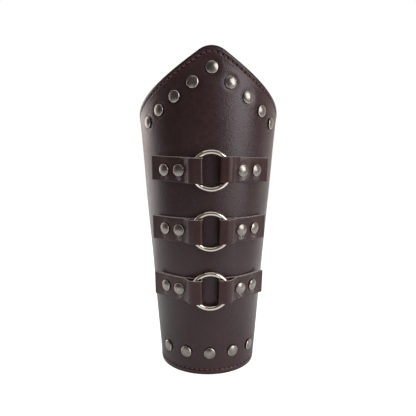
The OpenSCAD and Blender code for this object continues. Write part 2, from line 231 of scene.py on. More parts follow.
# Meshes
def make_piece(name, verts, faces, material, replaced=(), body="root", attributes=None, uv=None):
    """A piece of the scene on its body. The UV's first number runs round the seam up to uv["around"]."""
    mesh = bpy.data.meshes.new(name)
    mesh.from_pydata((np.asarray(verts) * MM).tolist(), [], faces)
    mesh.validate()
    mesh.polygons.foreach_set("use_smooth", [True] * len(mesh.polygons))
    for key, values in (attributes or {}).items():
        layer = mesh.attributes.new(key, "FLOAT", "POINT")
        layer.data.foreach_set("value", np.asarray(values, np.float32))
    if uv is not None:
        layer = mesh.uv_layers.new(name="seam")
        index = np.empty(len(mesh.loops), np.int32)
        mesh.loops.foreach_get("vertex_index", index)
        values = uv["points"][index]
        starts = np.empty(len(mesh.polygons), np.int32)
        totals = np.empty(len(mesh.polygons), np.int32)
        mesh.polygons.foreach_get("loop_start", starts)
        mesh.polygons.foreach_get("loop_total", totals)
        # a face across the seam's start goes on counting past it
        face_of = np.repeat(np.arange(len(starts)), totals)
        high = np.full(len(starts), -np.inf)
        np.maximum.at(high, face_of, values[:, 0])
        wrapped = high[face_of] - values[:, 0] > uv["around"] / 2
        values[wrapped, 0] += uv["around"]
        layer.data.foreach_set("uv", values.astype(np.float32).ravel())
    mesh.materials.append(material)
    obj = bpy.data.objects.new(name, mesh)
    bpy.context.scene.collection.objects.link(obj)
    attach(obj, body)
    if replaced:
        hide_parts(*replaced)
    return obj


def grid_faces(rows, columns, wrap=False, flip=False):
    """Faces between rows of points; wrap closes each row to a loop and flip turns the faces round."""
    faces = []
    last = columns if wrap else columns - 1
    for i in range(rows - 1):
        for j in range(last):
            k = (j + 1) % columns
            a, b = i * columns + j, i * columns + k
            c, d = b + columns, a + columns
            faces.append((a, d, c, b) if flip else (a, b, c, d))
    return faces


def lathe(profile, segments):
    """A closed turned solid; its profile runs from the axis at the top to the axis below."""
    inner = profile[1:-1]
    angles = np.arange(segments) * 2 * math.pi / segments
    ring = np.stack([np.cos(angles), np.sin(angles)], -1)
    verts = [(0, 0, profile[0][1])]
    for r, y in inner:
        verts += [(r * c, r * s, y) for c, s in ring]
    verts.append((0, 0, profile[-1][1]))
    faces = [(0, 1 + j, 1 + (j + 1) % segments) for j in range(segments)]
    for i in range(len(inner) - 1):
        for j in range(segments):
            a, b = 1 + i * segments + j, 1 + i * segments + (j + 1) % segments
            faces.append((a, a + segments, b + segments, b))
    base = 1 + (len(inner) - 1) * segments
    end = len(verts) - 1
    faces += [(base + j, end, base + (j + 1) % segments) for j in range(segments)]
    return np.array(verts, float), faces


def seat_frame(turn, z):
    """Origin and axes on the leather: along the leather's turn, up it and out of it."""
    t = math.radians(turn)
    out = np.array([math.sin(t) * COS, -math.cos(t) * COS, -SIN])
    side = np.array([math.cos(t), math.sin(t), 0])
    origin = np.array([cone_r(z) * math.sin(t), -cone_r(z) * math.cos(t), z])
    return origin, np.array([side, np.cross(out, side), out])


# The seam: its depth from the edge above and at the hem, what the tip adds, and its stitch
SEAM_TOP, SEAM_HEM, SEAM_TIP, STITCH_PITCH = 3.6, 4.6, 0.9, 4.4
# how far from the tip that reaches, and the heights between which the depth changes to the hem's
TIP_REACH, HEM_EASE = 13.0, (20, 200)


def seam_depth(flat):
    """How far in from the edge the seam lies."""
    reach = np.hypot(flat[..., 0], flat[..., 1])
    from_tip = np.hypot(flat[..., 0], flat[..., 1] - slant(TIP_H))
    hem = 1 - smooth(*HEM_EASE, reach - slant(0))
    return SEAM_TOP + (SEAM_HEM - SEAM_TOP) * hem + SEAM_TIP * bell(from_tip, TIP_REACH)


def half_outline(step=0.3):
    """Outline of the flat leather's right half, from the tip to the hem's middle, and its inward normals."""
    points, normals = [], []

    def arc(mid, r, a0, a1, sign):
        n = max(2, int(abs(math.radians(a1 - a0)) * r / step))
        for a in np.linspace(a0, a1, n, endpoint=False):
            c = compass(a)
            points.append(mid + sign * r * c)
            normals.append(-c)

    arc(TIP_MID, TIP_ROUND, 0, EDGE_FALL, 1)
    arc(BOW_MID, EDGE_BOW, EDGE_FALL, TOP_FALL, -1)
    arc(TOP_CORNER, CORNER_R, TOP_FALL, BACK_A + 90, 1)
    start, end = TOP_CORNER + CORNER_R * OFF_BACK, LOW_CORNER + CORNER_R * OFF_BACK
    n = int(np.linalg.norm(end - start) / step)
    for t in np.arange(n) / n:
        points.append(start + (end - start) * t)
        normals.append(-OFF_BACK)
    arc(LOW_CORNER, CORNER_R, BACK_A + 90, LOW_A + 180, 1)
    n = int(math.radians(LOW_A) * slant(0) / step)
    for a in np.linspace(LOW_A, 0, n + 1):
        points.append(slant(0) * compass(a))
        normals.append(compass(a))
    return np.array(points), np.array(normals)


points, normals = half_outline()
half = points + normals * seam_depth(points)[:, None]
seam = np.concatenate([half, (half * [-1, 1])[-2:0:-1]])
seam_closed = np.vstack([seam, seam[:1]])
seam_steps = np.linalg.norm(np.diff(seam_closed, axis=0), axis=1)
seam_run = np.concatenate([[0], np.cumsum(seam_steps)])
seam_length = seam_run[-1]
STITCHES = int(round(seam_length / STITCH_PITCH))
pitch = seam_length / STITCHES


def seam_at(s):
    """Points of the flat leather at distances s round the seam."""
    s = np.mod(s, seam_length)
    u = np.interp(s, seam_run, seam_closed[:, 0])
    v = np.interp(s, seam_run, seam_closed[:, 1])
    return np.stack([u, v], -1)


def seam_place(flat, near=9.0):
    """How far round the seam each flat point lies, in stitches, 0 far from the edge; and its depth."""
    depth = depth_inside(flat)
    out = np.zeros(len(flat))
    index = np.where(depth < near)[0]
    for block in np.array_split(index, max(1, len(index) // 2000)):
        d2 = ((flat[block, None, :] - seam[None, :, :]) ** 2).sum(-1)
        best = d2.argmin(1)
        before = (best - 1) % len(seam)
        after = (best + 1) % len(seam)
        direction = seam[after] - seam[before]
        direction /= np.linalg.norm(direction, axis=1)[:, None]
        along = ((flat[block] - seam[best]) * direction).sum(1)
        out[block] = ((seam_run[best] + along) % seam_length) / pitch
    return out, depth


# Height of the leather's outside over the cone
EDGE_R, PAINT_LINE, PAINT_DEEP, PAINT_W = 0.6, 1.0, 0.12, 0.28
# the seam's groove and the swells at its sides: height, place across the seam and width
SEAM_FORMS = ((-0.46, 0.0, 0.75), (0.26, -1.5, 0.9), (0.15, 1.5, 1.0))
# the dent under a rivet cap, the swell round it and the one round an eyelet
CAP_DENT, CAP_DENT_R, CAP_SWELL, CAP_SWELL_R = 0.40, (4.6, 7.4), 0.08, 8.3
EYELET_SWELL, EYELET_SWELL_R, SWELL_W = 0.05, 6.8, 1.4
cap_places = [flat_place(t, z) for t, z in elbow_rivets + wrist_rivets]
eyelet_places = [flat_place(t, z) for t, z in eyelets]


def leather_height(flat, depth):
    """Height of the leather's outside over the plain cone, at points of the flat leather."""
    d = np.clip(depth, 0, None)
    reach = np.hypot(flat[..., 0], flat[..., 1])
    z = reach * COS + APEX
    turn = np.arctan2(flat[..., 0], flat[..., 1]) / SIN
    off_seam = d - seam_depth(flat)
    h = -PAINT_DEEP * bell(d - PAINT_LINE, PAINT_W)
    for height, place, width in SEAM_FORMS:
        h += height * bell(off_seam - place, width)
    for p in cap_places:
        r = np.hypot(flat[..., 0] - p[0], flat[..., 1] - p[1])
        h -= CAP_DENT * (1 - smooth(*CAP_DENT_R, r))
        h += CAP_SWELL * bell(r - CAP_SWELL_R, SWELL_W)
    for p in eyelet_places:
        r = np.hypot(flat[..., 0] - p[0], flat[..., 1] - p[1])
        h += EYELET_SWELL * bell(r - EYELET_SWELL_R, SWELL_W)
    # three slow waves across each other make the skin uneven, and fade out near the edge
    calm = smooth(0, 12, d)
    h += calm * (
        0.10 * np.sin(z / 17.0 + 1.3 * np.sin(turn * 2.1 + 0.6))
        + 0.09 * np.sin(turn * 5.3 + z / 41.0)
        + 0.05 * np.sin(turn * 9.7 - z / 12.5 + 1.9)
    )
    h -= np.where(d < EDGE_R, EDGE_R - np.sqrt(np.clip(EDGE_R**2 - (EDGE_R - d) ** 2, 0, None)), 0)
    return h


# Grids of the panel and the lining: depths of the rows near an edge, and the height that spaces the columns
NEAR_EDGE = [0, 0.12, 0.3, 0.55, 0.9, 1.35, 1.9, 2.5, 3.1, 3.7, 4.3, 5.0, 5.8, 6.7, 7.7]
MID_Z = 110
# the eyelets' holes, the band in which their neighbours are looked for, and the mm across in a unit of UV
EYELET_HOLE_R, ROUND_HOLE, UV_SCALE = 2.97, 4, 10.0


def leather_grid(step, near, band, middle_rows):
    """Flat points in rows from the hem up and columns from the left back edge to the right one.

    The rows lie at the depths in near, then a step apart as far as the band goes, and then evenly.
    """
    mid_reach = slant(MID_Z)
    half_length = math.radians(BACK_A) * mid_reach
    inner = np.linspace(near[-1], half_length, int((half_length - near[-1]) / step) + 1)[1:]
    from_back = np.concatenate([near, inner])
    a = BACK_A - np.degrees(from_back / mid_reach)
    a = np.concatenate([-a, a[:-1][::-1]])
    a[len(from_back) - 1] = 0.0
    lo, hi = lower_reach(a), upper_reach(a)
    edge = np.concatenate([near, np.arange(near[-1] + step, band, step)])
    middle = np.linspace(0, 1, middle_rows + 2)[1:-1]
    rows = [lo + e for e in edge]
    first, last = lo + edge[-1], hi - edge[-1]
    rows += [first + (last - first) * m for m in middle]
    rows += [hi - e for e in edge[::-1]]
    reach = np.array(rows)
    angle = np.radians(np.broadcast_to(a, reach.shape))
    return np.stack([reach * np.sin(angle), reach * np.cos(angle)], -1)


def leather_piece(name, flat, outer_h, inner_h, material, replaced):
    """A closed sheet of leather between two heights, with a round hole at each eyelet."""
    rows, columns = flat.shape[:2]
    count = rows * columns
    points = flat.reshape(-1, 2).copy()
    faces = grid_faces(rows, columns)
    mid = points.reshape(rows, columns, 2)
    centre = (mid[:-1, :-1] + mid[1:, :-1] + mid[:-1, 1:] + mid[1:, 1:]).reshape(-1, 2) / 4
    keep = np.ones(len(faces), bool)
    for p in eyelet_places:
        near = np.hypot(*(centre - p).T) < EYELET_HOLE_R
        keep &= ~near
        touched = np.unique(np.array(faces)[near].ravel())
        round_it = keep & (np.hypot(*(centre - p).T) < EYELET_HOLE_R + ROUND_HOLE)
        others = set(np.unique(np.array(faces)[round_it].ravel()))
        ring = [v for v in touched if v in others]
        off = points[ring] - p
        points[ring] = p + off / np.linalg.norm(off, axis=1)[:, None] * EYELET_HOLE_R
    faces = [f for f, k in zip(faces, keep) if k]
    stitch, depth = seam_place(points)
    outside = over_leather(points, outer_h(points, depth))
    inside = over_leather(points, inner_h(points, depth))
    edges = {edge: True for f in faces for edge in zip(f, f[1:] + f[:1])}
    border = [(a, b) for a, b in edges if (b, a) not in edges]
    all_faces = faces + [tuple(count + v for v in reversed(f)) for f in faces]
    all_faces += [(b, a, count + a, count + b) for a, b in border]
    used = np.unique(np.array(faces).ravel())
    used = np.concatenate([used, used + count])
    renumber = np.full(2 * count, -1)
    renumber[used] = np.arange(len(used))
    verts = np.concatenate([outside, inside])[used]
    all_faces = [tuple(int(renumber[v]) for v in f) for f in all_faces]
    off_seam = depth - seam_depth(points)
    uv = np.stack([np.tile(stitch, 2), np.tile(off_seam, 2) / UV_SCALE], -1)[used]
    return make_piece(
        name, verts, all_faces, material, replaced,
        attributes={"edge": np.concatenate([depth, depth - 2 * PAINT_LINE])[used]},
        uv={"points": uv, "around": STITCHES},
    )


# Materials. Scales of noise are per metre, and the distances of bumps are in metres.
class Nodes:
    """Short ways to add shader nodes to one emptied tree."""

    def __init__(self, owner, space="Object"):
        owner.use_nodes = True
        self.tree = owner.node_tree
        self.tree.nodes.clear()
        self.place = self.add("ShaderNodeTexCoord").outputs[space]

    def add(self, kind, **settings):
        node = self.tree.nodes.new(kind)
        for key, value in settings.items():
            setattr(node, key, value)
        return node

    def put(self, socket, value):
        if isinstance(value, bpy.types.NodeSocket):
            self.tree.links.new(value, socket)
        else:
            socket.default_value = value

    def math(self, operation, *values):
        node = self.add("ShaderNodeMath", operation=operation)
        for socket, value in zip(node.inputs, values):
            self.put(socket, value)
        return node.outputs[0]

    def noise(self, scale, detail, rough, distortion=0.0):
        node = self.add("ShaderNodeTexNoise")
        self.put(node.inputs["Vector"], self.place)
        node.inputs["Scale"].default_value = scale
        node.inputs["Detail"].default_value = detail
        node.inputs["Roughness"].default_value = rough
        node.inputs["Distortion"].default_value = distortion
        return node.outputs[0]

    def cells(self, scale):
        node = self.add("ShaderNodeTexVoronoi")
        self.put(node.inputs["Vector"], self.place)
        node.inputs["Scale"].default_value = scale
        return node.outputs["Distance"]

    def ramp(self, value, low, high, out_low=0.0, out_high=1.0):
        """A smooth step of the value from low to high, given as out_low to out_high."""
        node = self.add("ShaderNodeMapRange", interpolation_type="SMOOTHSTEP")
        keys = ("Value", "From Min", "From Max", "To Min", "To Max")
        for key, item in zip(keys, (value, low, high, out_low, out_high)):
            self.put(node.inputs[key], item)
        return node.outputs[0]

    def blend(self, a, share_a, b, share_b):
        """The sum of two values, each with its share."""
        return self.math("ADD", self.math("MULTIPLY", a, share_a), self.math("MULTIPLY", b, share_b))

    def away(self, value, place):
        """How far the value is from the place, never negative."""
        return self.math("ABSOLUTE", self.math("SUBTRACT", value, place))

    def mix(self, share, a, b):
        node = self.add("ShaderNodeMix", data_type="RGBA")
        self.put(node.inputs[0], share)
        self.put(node.inputs[6], a)
        self.put(node.inputs[7], b)
        return node.outputs[2]

    def bump(self, height, distance, strength=1.0, normal=None):
        node = self.add("ShaderNodeBump")
        self.put(node.inputs["Height"], height)
        node.inputs["Distance"].default_value = distance
        node.inputs["Strength"].default_value = strength
        if normal is not None:
            self.put(node.inputs["Normal"], normal)
        return node.outputs[0]

    def attribute(self, name):
        return self.add("ShaderNodeAttribute", attribute_name=name).outputs["Fac"]


def new_material(name):
    material = bpy.data.materials.new(name)
    n = Nodes(material)
    shader = n.add("ShaderNodeBsdfPrincipled")
    n.put(n.add("ShaderNodeOutputMaterial").inputs[0], shader.outputs[0])
    return material, n, shader


# What the leather shader draws along the seam and the edge, in mm
STITCH_HOLE_R, STITCH_HOLE_AT, SEAM_LIP_AT, SEAM_LIP_W = (0.42, 0.78), -0.1, 0.9, 0.9
PAINT_LINE_W, PAINT_WALL = (0.10, 0.42), (-0.2, 0.25)
# the stitch holes are painted near black, as painted shade in them
HOLE_SHADE, EDGE_PAINT = (0.002, 0.0015, 0.0015, 1), (0.006, 0.004, 0.004, 1)


def leather_material(name, dark, light):
    """Coated leather with a fine grain, a hole at each stitch painted near black as painted shade, and a
    painted edge.
    """
    material, n, shader = new_material(name)
    # uneven dye, fine grain and the gloss that follows them
    cloud = n.noise(22, 3.0, 0.55)
    fine = n.noise(260, 4.0, 0.6)
    colour = n.mix(n.ramp(n.blend(cloud, 0.6, fine, 0.4), 0.36, 0.66), dark, light)
    pores = n.cells(900)
    wrinkle = n.noise(480, 5.0, 0.62, distortion=0.4)
    pebble = n.noise(950, 1.0, 0.4)
    grain = n.math("ADD", n.blend(pores, 0.4, wrinkle, 0.5), n.math("MULTIPLY", pebble, 0.8))
    rough = n.math("ADD", n.ramp(cloud, 0.3, 0.7, 0.24, 0.32), n.math("MULTIPLY", fine, 0.12))
    normal = n.bump(grain, 0.00023, 0.65)
    # the holes between stitches, painted near black as their painted shade, and the lip beside the seam that
    # each stitch pulls in
    split = n.add("ShaderNodeSeparateXYZ")
    n.put(split.inputs[0], n.add("ShaderNodeUVMap", uv_map="seam").outputs[0])
    along, off_seam = split.outputs[0], n.math("MULTIPLY", split.outputs[1], UV_SCALE)
    place = n.away(n.math("FRACT", n.math("ADD", along, 0.5)), 0.5)
    run = n.math("POWER", n.math("MULTIPLY", place, pitch), 2.0)
    across = n.math("POWER", n.away(off_seam, STITCH_HOLE_AT), 2.0)
    hole = n.ramp(n.math("POWER", n.math("ADD", run, across), 0.5), *STITCH_HOLE_R, 1.0, 0.0)
    lip = n.ramp(n.away(off_seam, SEAM_LIP_AT), 0.0, SEAM_LIP_W, 1.0, 0.0)
    pucker = n.math("MULTIPLY", n.math("COSINE", n.math("MULTIPLY", along, 2 * math.pi)), lip)
    # painted shade fills each stitch hole
    colour = n.mix(n.math("MULTIPLY", hole, 0.95), colour, HOLE_SHADE)
    relief = n.math("SUBTRACT", n.math("MULTIPLY", pucker, -0.30), hole)
    normal = n.bump(relief, 0.00040, 0.8, normal)
    # the pressed line near the edge and the cut wall are painted
    edge = n.attribute("edge")
    line = n.ramp(n.away(edge, PAINT_LINE), *PAINT_LINE_W, 0.8, 0.0)
    wall = n.ramp(edge, *PAINT_WALL, 0.7, 0.0)
    colour = n.mix(n.math("MAXIMUM", line, wall), colour, EDGE_PAINT)
    n.put(shader.inputs["Base Color"], colour)
    n.put(shader.inputs["Roughness"], rough)
    n.put(shader.inputs["Normal"], normal)
    covered = n.math("MAXIMUM", hole, n.math("MULTIPLY", line, 0.6))
    shine = n.math("MULTIPLY", n.math("SUBTRACT", 1.0, covered), 0.46)
    n.put(shader.inputs["Specular IOR Level"], shine)
    shader.inputs["Specular Tint"].default_value = (0.96, 0.92, 1.0, 1)
    return material


def lining_material(name, dark, light):
    """Matt split leather with a short nap."""
    material, n, shader = new_material(name)
    cloud = n.noise(30, 4.0, 0.6)
    nap = n.noise(900, 5.0, 0.7, distortion=0.8)
    colour = n.mix(n.ramp(n.blend(cloud, 0.6, nap, 0.4), 0.35, 0.65), dark, light)
    n.put(shader.inputs["Base Color"], colour)
    shader.inputs["Roughness"].default_value = 0.85
    shader.inputs["Specular IOR Level"].default_value = 0.25
    shader.inputs["Sheen Weight"].default_value = 0.25
    shader.inputs["Sheen Roughness"].default_value = 0.5
    n.put(shader.inputs["Normal"], n.bump(nap, 0.00025, 0.6))
    return material


# Colours of the straps' cut edge and of the pale streaks below their rivets
CUT_DARK, CUT_LIGHT, STREAK = (0.16, 0.14, 0.135, 1), (0.34, 0.31, 0.30, 1), (0.30, 0.27, 0.27, 1)


def strap_material(name, dark, light):
    """Reddish leather with pale cut edges, painted strongest on the upper edge as painted light from above,
    and pale streaks where it is creased.
    """
    material, n, shader = new_material(name)
    cloud = n.noise(45, 3.0, 0.6)
    fine = n.noise(420, 4.0, 0.6)
    colour = n.mix(n.ramp(n.blend(cloud, 0.65, fine, 0.35), 0.35, 0.66), dark, light)
    fibre = n.noise(1500, 3.0, 0.7)
    cut_colour = n.mix(n.ramp(fibre, 0.35, 0.65), CUT_DARK, CUT_LIGHT)
    ragged = n.math("MULTIPLY", n.math("SUBTRACT", n.noise(900, 3.0, 0.7), 0.5), 0.5)
    cut = n.math("ADD", n.attribute("cut"), ragged)
    # the cut edge's pale colour is its own; its weight is painted light on the upper edge and painted shade
    # on the lower
    colour = n.mix(n.ramp(cut, 0.35, 0.75), colour, cut_colour)
    streak = n.ramp(n.noise(420, 3.0, 0.65, distortion=1.5), 0.44, 0.60)
    creased = n.math("MULTIPLY", n.attribute("crease"), n.math("MULTIPLY", streak, 0.8))
    colour = n.mix(creased, colour, STREAK)
    gloss = n.ramp(cloud, 0.3, 0.7, 0.34, 0.41)
    rough = n.math("ADD", gloss, n.math("MULTIPLY", n.ramp(cut, 0.2, 0.8), 0.35))
    n.put(shader.inputs["Base Color"], colour)
    n.put(shader.inputs["Roughness"], rough)
    n.put(shader.inputs["Normal"], n.bump(n.blend(n.cells(1300), 0.5, fine, 0.7), 0.00010, 0.5))
    shader.inputs["Specular IOR Level"].default_value = 0.50
    shader.inputs["Specular Tint"].default_value = (1.0, 0.90, 0.90, 1)
    return material


def metal_material(name, dark, light, rough_low, rough_high, dent, painted_shade=None, worn=None):
    """Plated metal; worn is the colour of its polished places, and the other given colour is painted shade
    where the shade attribute marks it.
    """
    material, n, shader = new_material(name)
    blotch = n.noise(280, 3.0, 0.5)
    scratch = n.noise(1700, 3.0, 0.7, distortion=1.0)
    tone = n.blend(blotch, 0.8, scratch, 0.2)
    colour = n.mix(n.ramp(tone, 0.30, 0.70), dark, light)
    if painted_shade and worn:
        colour = n.mix(n.ramp(n.attribute("worn"), 0.0, 1.0), colour, worn)
        # painted shade: the marked places darken towards the given colour
        colour = n.mix(n.attribute("painted_shade"), colour, painted_shade)
    n.put(shader.inputs["Base Color"], colour)
    n.put(shader.inputs["Roughness"], n.ramp(tone, 0.3, 0.7, rough_low, rough_high))
    n.put(shader.inputs["Normal"], n.bump(blotch, dent, 0.5))
    shader.inputs["Metallic"].default_value = 1.0
    return material


def thread_material(name, dark, light):
    material, n, shader = new_material(name)
    ply = n.noise(1400, 3.0, 0.6)
    n.put(shader.inputs["Base Color"], n.mix(n.ramp(ply, 0.35, 0.65), dark, light))
    shader.inputs["Roughness"].default_value = 0.7
    shader.inputs["Specular IOR Level"].default_value = 0.3
    shader.inputs["Sheen Weight"].default_value = 0.15
    n.put(shader.inputs["Normal"], n.bump(ply, 0.00012, 0.6))
    return material


panel_leather = leather_material("panel_leather", (0.0268, 0.0112, 0.0109, 1), (0.0388, 0.0175, 0.0170, 1))
lining_leather = lining_material("lining_leather", (0.040, 0.026, 0.020, 1), (0.075, 0.050, 0.038, 1))
strap_leather = strap_material("strap_leather", (0.0260, 0.0080, 0.0078, 1), (0.0385, 0.0130, 0.0125, 1))
nickel = metal_material("nickel", (0.76, 0.69, 0.61, 1), (0.87, 0.80, 0.71, 1), 0.11, 0.15, 0.000003)
# pewter, painted dark as painted shade at the foot of the caps' walls
pewter = metal_material(
    "pewter", (0.235, 0.212, 0.192, 1), (0.31, 0.282, 0.256, 1), 0.28, 0.34, 0.00001,
    painted_shade=(0.040, 0.034, 0.030, 1), worn=(0.66, 0.605, 0.555, 1),
)
thread = thread_material("thread", (0.10, 0.024, 0.028, 1), (0.27, 0.078, 0.085, 1))


# The leather panel and its lining, with how far their edges round off and over what depth
PANEL_BEVEL, LINING_BEVEL, BEVEL_W, GLUE_GAP = 0.25, 0.12, 0.3, 0.02
INNER_BEVEL, INNER_BEVEL_W = 0.35, 0.5
# the lining swells beside the seam and sinks under it: height, depth from the edge and width
LINING_FORMS = ((0.12, 1.9, 1.1), (-0.16, 3.9, 0.8))


def panel_inside(flat, depth):
    return -PANEL_T + PANEL_BEVEL * (1 - smooth(0, BEVEL_W, depth))


def lining_outside(flat, depth):
    return -PANEL_T - LINING_BEVEL * (1 - smooth(0, BEVEL_W, depth)) - GLUE_GAP


def lining_inside(flat, depth):
    swell = sum(height * bell(depth - place, width) for height, place, width in LINING_FORMS)
    return -WALL_T - swell + INNER_BEVEL * (1 - smooth(0, INNER_BEVEL_W, depth))


panel_grid = leather_grid(step=1.1, near=NEAR_EDGE, band=30.0, middle_rows=112)
leather_piece(
    "leather_panel", panel_grid, leather_height, panel_inside,
    panel_leather, ["outer_panel"],
)
lining_grid = leather_grid(step=1.9, near=NEAR_EDGE[::2], band=14.0, middle_rows=90)
leather_piece(
    "leather_lining", lining_grid, lining_outside, lining_inside,
    lining_leather, ["lining"],
)


# The seam's thread: its radius, half a stitch's length, how far each stitch slants, arches and dives
THREAD_R, STITCH_HALF, STITCH_SLANT, STITCH_ARCH, STITCH_DIVE = 0.30, 1.62, 0.30, 0.30, 0.42


def thread_runs(name, top_h, side):
    """Every stitch of one side of the seam, as one piece of short threads that dive into the leather."""
    stations, sides = 11, 8
    x = np.linspace(-1, 1, stations)
    centre_s = (np.arange(STITCHES) + 0.5) * pitch
    s = centre_s[:, None] + x[None, :] * STITCH_HALF
    step = seam_at(s + 0.5) - seam_at(s - 0.5)
    step /= np.linalg.norm(step, axis=2)[..., None]
    inward = np.stack([step[..., 1], -step[..., 0]], -1)
    flat = seam_at(s) + inward * (x * STITCH_SLANT)[None, :, None]
    base = top_h(flat, depth_inside(flat))
    arch = STITCH_ARCH * np.sqrt(np.clip(1 - x**2, 0, 1)) - STITCH_DIVE * np.abs(x) ** 6
    h = base + side * arch[None, :]
    line = over_leather(flat, h)
    tangent = np.gradient(line, axis=1)
    tangent /= np.linalg.norm(tangent, axis=2)[..., None]
    out = outward(flat)
    across = np.cross(tangent, out)
    across /= np.linalg.norm(across, axis=2)[..., None]
    out = np.cross(across, tangent)
    radius = THREAD_R * np.clip(1 - np.abs(x) ** 8, 0.15, 1)
    verts = []
    for a in np.arange(sides) * 2 * math.pi / sides:
        verts.append(line + (across * math.cos(a) + out * math.sin(a)) * radius[None, :, None])
    verts = np.stack(verts, 2).reshape(STITCHES, -1, 3)
    per = stations * sides
    one = grid_faces(stations, sides, wrap=True)
    one.append(tuple(range(sides))[::-1])
    one.append(tuple(range(per - sides, per)))
    faces = [tuple(v + i * per for v in f) for i in range(STITCHES) for f in one]
    return make_piece(name, verts.reshape(-1, 3), faces, thread)


thread_runs("seam_thread_outside", leather_height, 1)
thread_runs("seam_thread_inside", lining_inside, -1)


# Straps. The loop stands WRAP_RISE further out from the wire than the model's, for its rounder shoulder.
FOLD_R, SHOULDER_R, FOOT_R, WRAP_RISE = 1.7, 7.0, 8.0, 0.60
WRAP_R = WIRE_R + WIRE_CLEAR + STRAP_T / 2 + WRAP_RISE
INSIDE_R = RING_R - WIRE_R
FOLD_X = math.sqrt(INSIDE_R**2 - (STRAP_W / 2) ** 2) - WIRE_CLEAR - STRAP_T / 2
# the foot of the slope lies just inside the first cap's rim, and the upper layer starts in the foot's arc
FOOT_OFF_CAP, FOOT_ARC_SHARE = 0.64, 0.38
FOOT_S = RIVET_IN - CAP_R + CAP_RIM - FOOT_OFF_CAP
LIFT_POWER = 1.6
# the dent under a rivet cap and the swell round it
STRAP_DENT, STRAP_DENT_R, STRAP_SWELL, STRAP_SWELL_R = 0.16, (4.7, 7.9), 0.04, 8.4
# pale creases lie in a band below each rivet: half their length and the band's place across the strap
CREASE_W, CREASE_BAND = 2.6, (-9.0, -4.4)
# the share of a random height that each strap waves by across its width, and the length of the wave
SAG, SAG_WAVE = 0.3, 6.0
# what stands for the distance of points that lie nowhere near a rivet
FAR_OFF = -99.0


def over_row(z, s, h, end, lift):
    """Point of a row's own plane, h over the leather at s from the middle.

    Past the outer rivet the strap runs on straight and lifts off by lift at its end.
    """
    run = min(s, RIVET_OUT)
    turn = float(row_turn(z, run))
    r = float(row_slant(z, turn)) * SIN
    out = np.array([COS * math.sin(turn), COS**2 * math.cos(turn) + SIN**2])
    out /= np.linalg.norm(out)
    along = np.array([out[1], -out[0]])
    point = np.array([r * math.sin(turn), -r * COS * (1 - math.cos(turn))])
    past = s - run
    if past > 0:
        rise = lift * (past / (end - RIVET_OUT)) ** LIFT_POWER
        slope = LIFT_POWER * rise / past
        point = point + along * past + out * rise
        out = out - along * slope
        out /= np.linalg.norm(out)
    return point + h * out


def rounded(a, b, c, r, steps=8):
    """Points of an arc that rounds the corner b between a and c."""
    u, v = (a - b) / np.linalg.norm(a - b), (c - b) / np.linalg.norm(c - b)
    half_angle = math.acos(max(-1, min(1, float(u @ v)))) / 2
    mid = b + (u + v) / np.linalg.norm(u + v) * r / math.sin(half_angle)
    start = b + u * r / math.tan(half_angle) - mid
    turn = (-1 if u[0] * v[1] - u[1] * v[0] > 0 else 1) * (math.pi - 2 * half_angle)
    out = []
    for i in range(steps + 1):
        c, s = math.cos(turn * i / steps), math.sin(turn * i / steps)
        out.append(mid + np.array([start[0] * c - start[1] * s, start[0] * s + start[1] * c]))
    return out


def strap_line(z, grow, lift):
    """Middle line of a folded strap in one slice of its width, from the lower layer's end to the upper's.

    Each point's distance from the front line comes with it twice: s for the upper layer alone, run for all.
    """
    low_h = LAYER_GAP + STRAP_T / 2
    high_h = low_h + STRAP_T + LAYER_GAP
    over_y = RING_LIFT + WRAP_R
    end = STRAP_REACH / grow
    low_start = FOLD_X + 2 * FOLD_R
    low_s = np.linspace(end, low_start, 40)
    high_s = np.linspace(FOOT_S + FOOT_ARC_SHARE * FOOT_R, end, 52)
    low = [over_row(z, s, low_h, end, lift) for s in low_s]
    high = [over_row(z, s, high_h, end, lift) for s in high_s]
    fold_low = over_row(z, FOLD_X, low_h, end, lift)
    foot = over_row(z, FOOT_S, high_h, end, lift)
    away = foot - [RING_R, RING_LIFT]
    slope_a = math.pi / 2 - math.atan2(away[1], away[0]) - math.acos(WRAP_R / np.linalg.norm(away))
    fold_high = np.array([FOLD_X, over_y])
    drop = np.array([RING_R + WRAP_R * math.tan(slope_a / 2), over_y])
    bends = rounded(low[-1], fold_low, fold_high, FOLD_R) + rounded(fold_low, fold_high, drop, FOLD_R)
    plateau = rounded(fold_high, drop, foot, SHOULDER_R, 16)
    fill = [bends[-1] + (plateau[0] - bends[-1]) * t for t in np.arange(1, 8) / 8]
    foot_arc = rounded(drop, foot, high[0], FOOT_R, 12)
    drop_fill = [plateau[-1] + (foot_arc[0] - plateau[-1]) * t for t in np.arange(1, 5) / 5]
    line = low[:-1] + bends + fill + plateau + drop_fill + foot_arc[:-1] + high
    s = np.full(len(line), FAR_OFF)
    s[-len(high):] = high_s * grow
    run = np.full(len(line), FOLD_X)
    run[:len(low) - 1] = low_s[:-1] * grow
    run[-len(high):] = high_s * grow
    return np.array(line), s, run


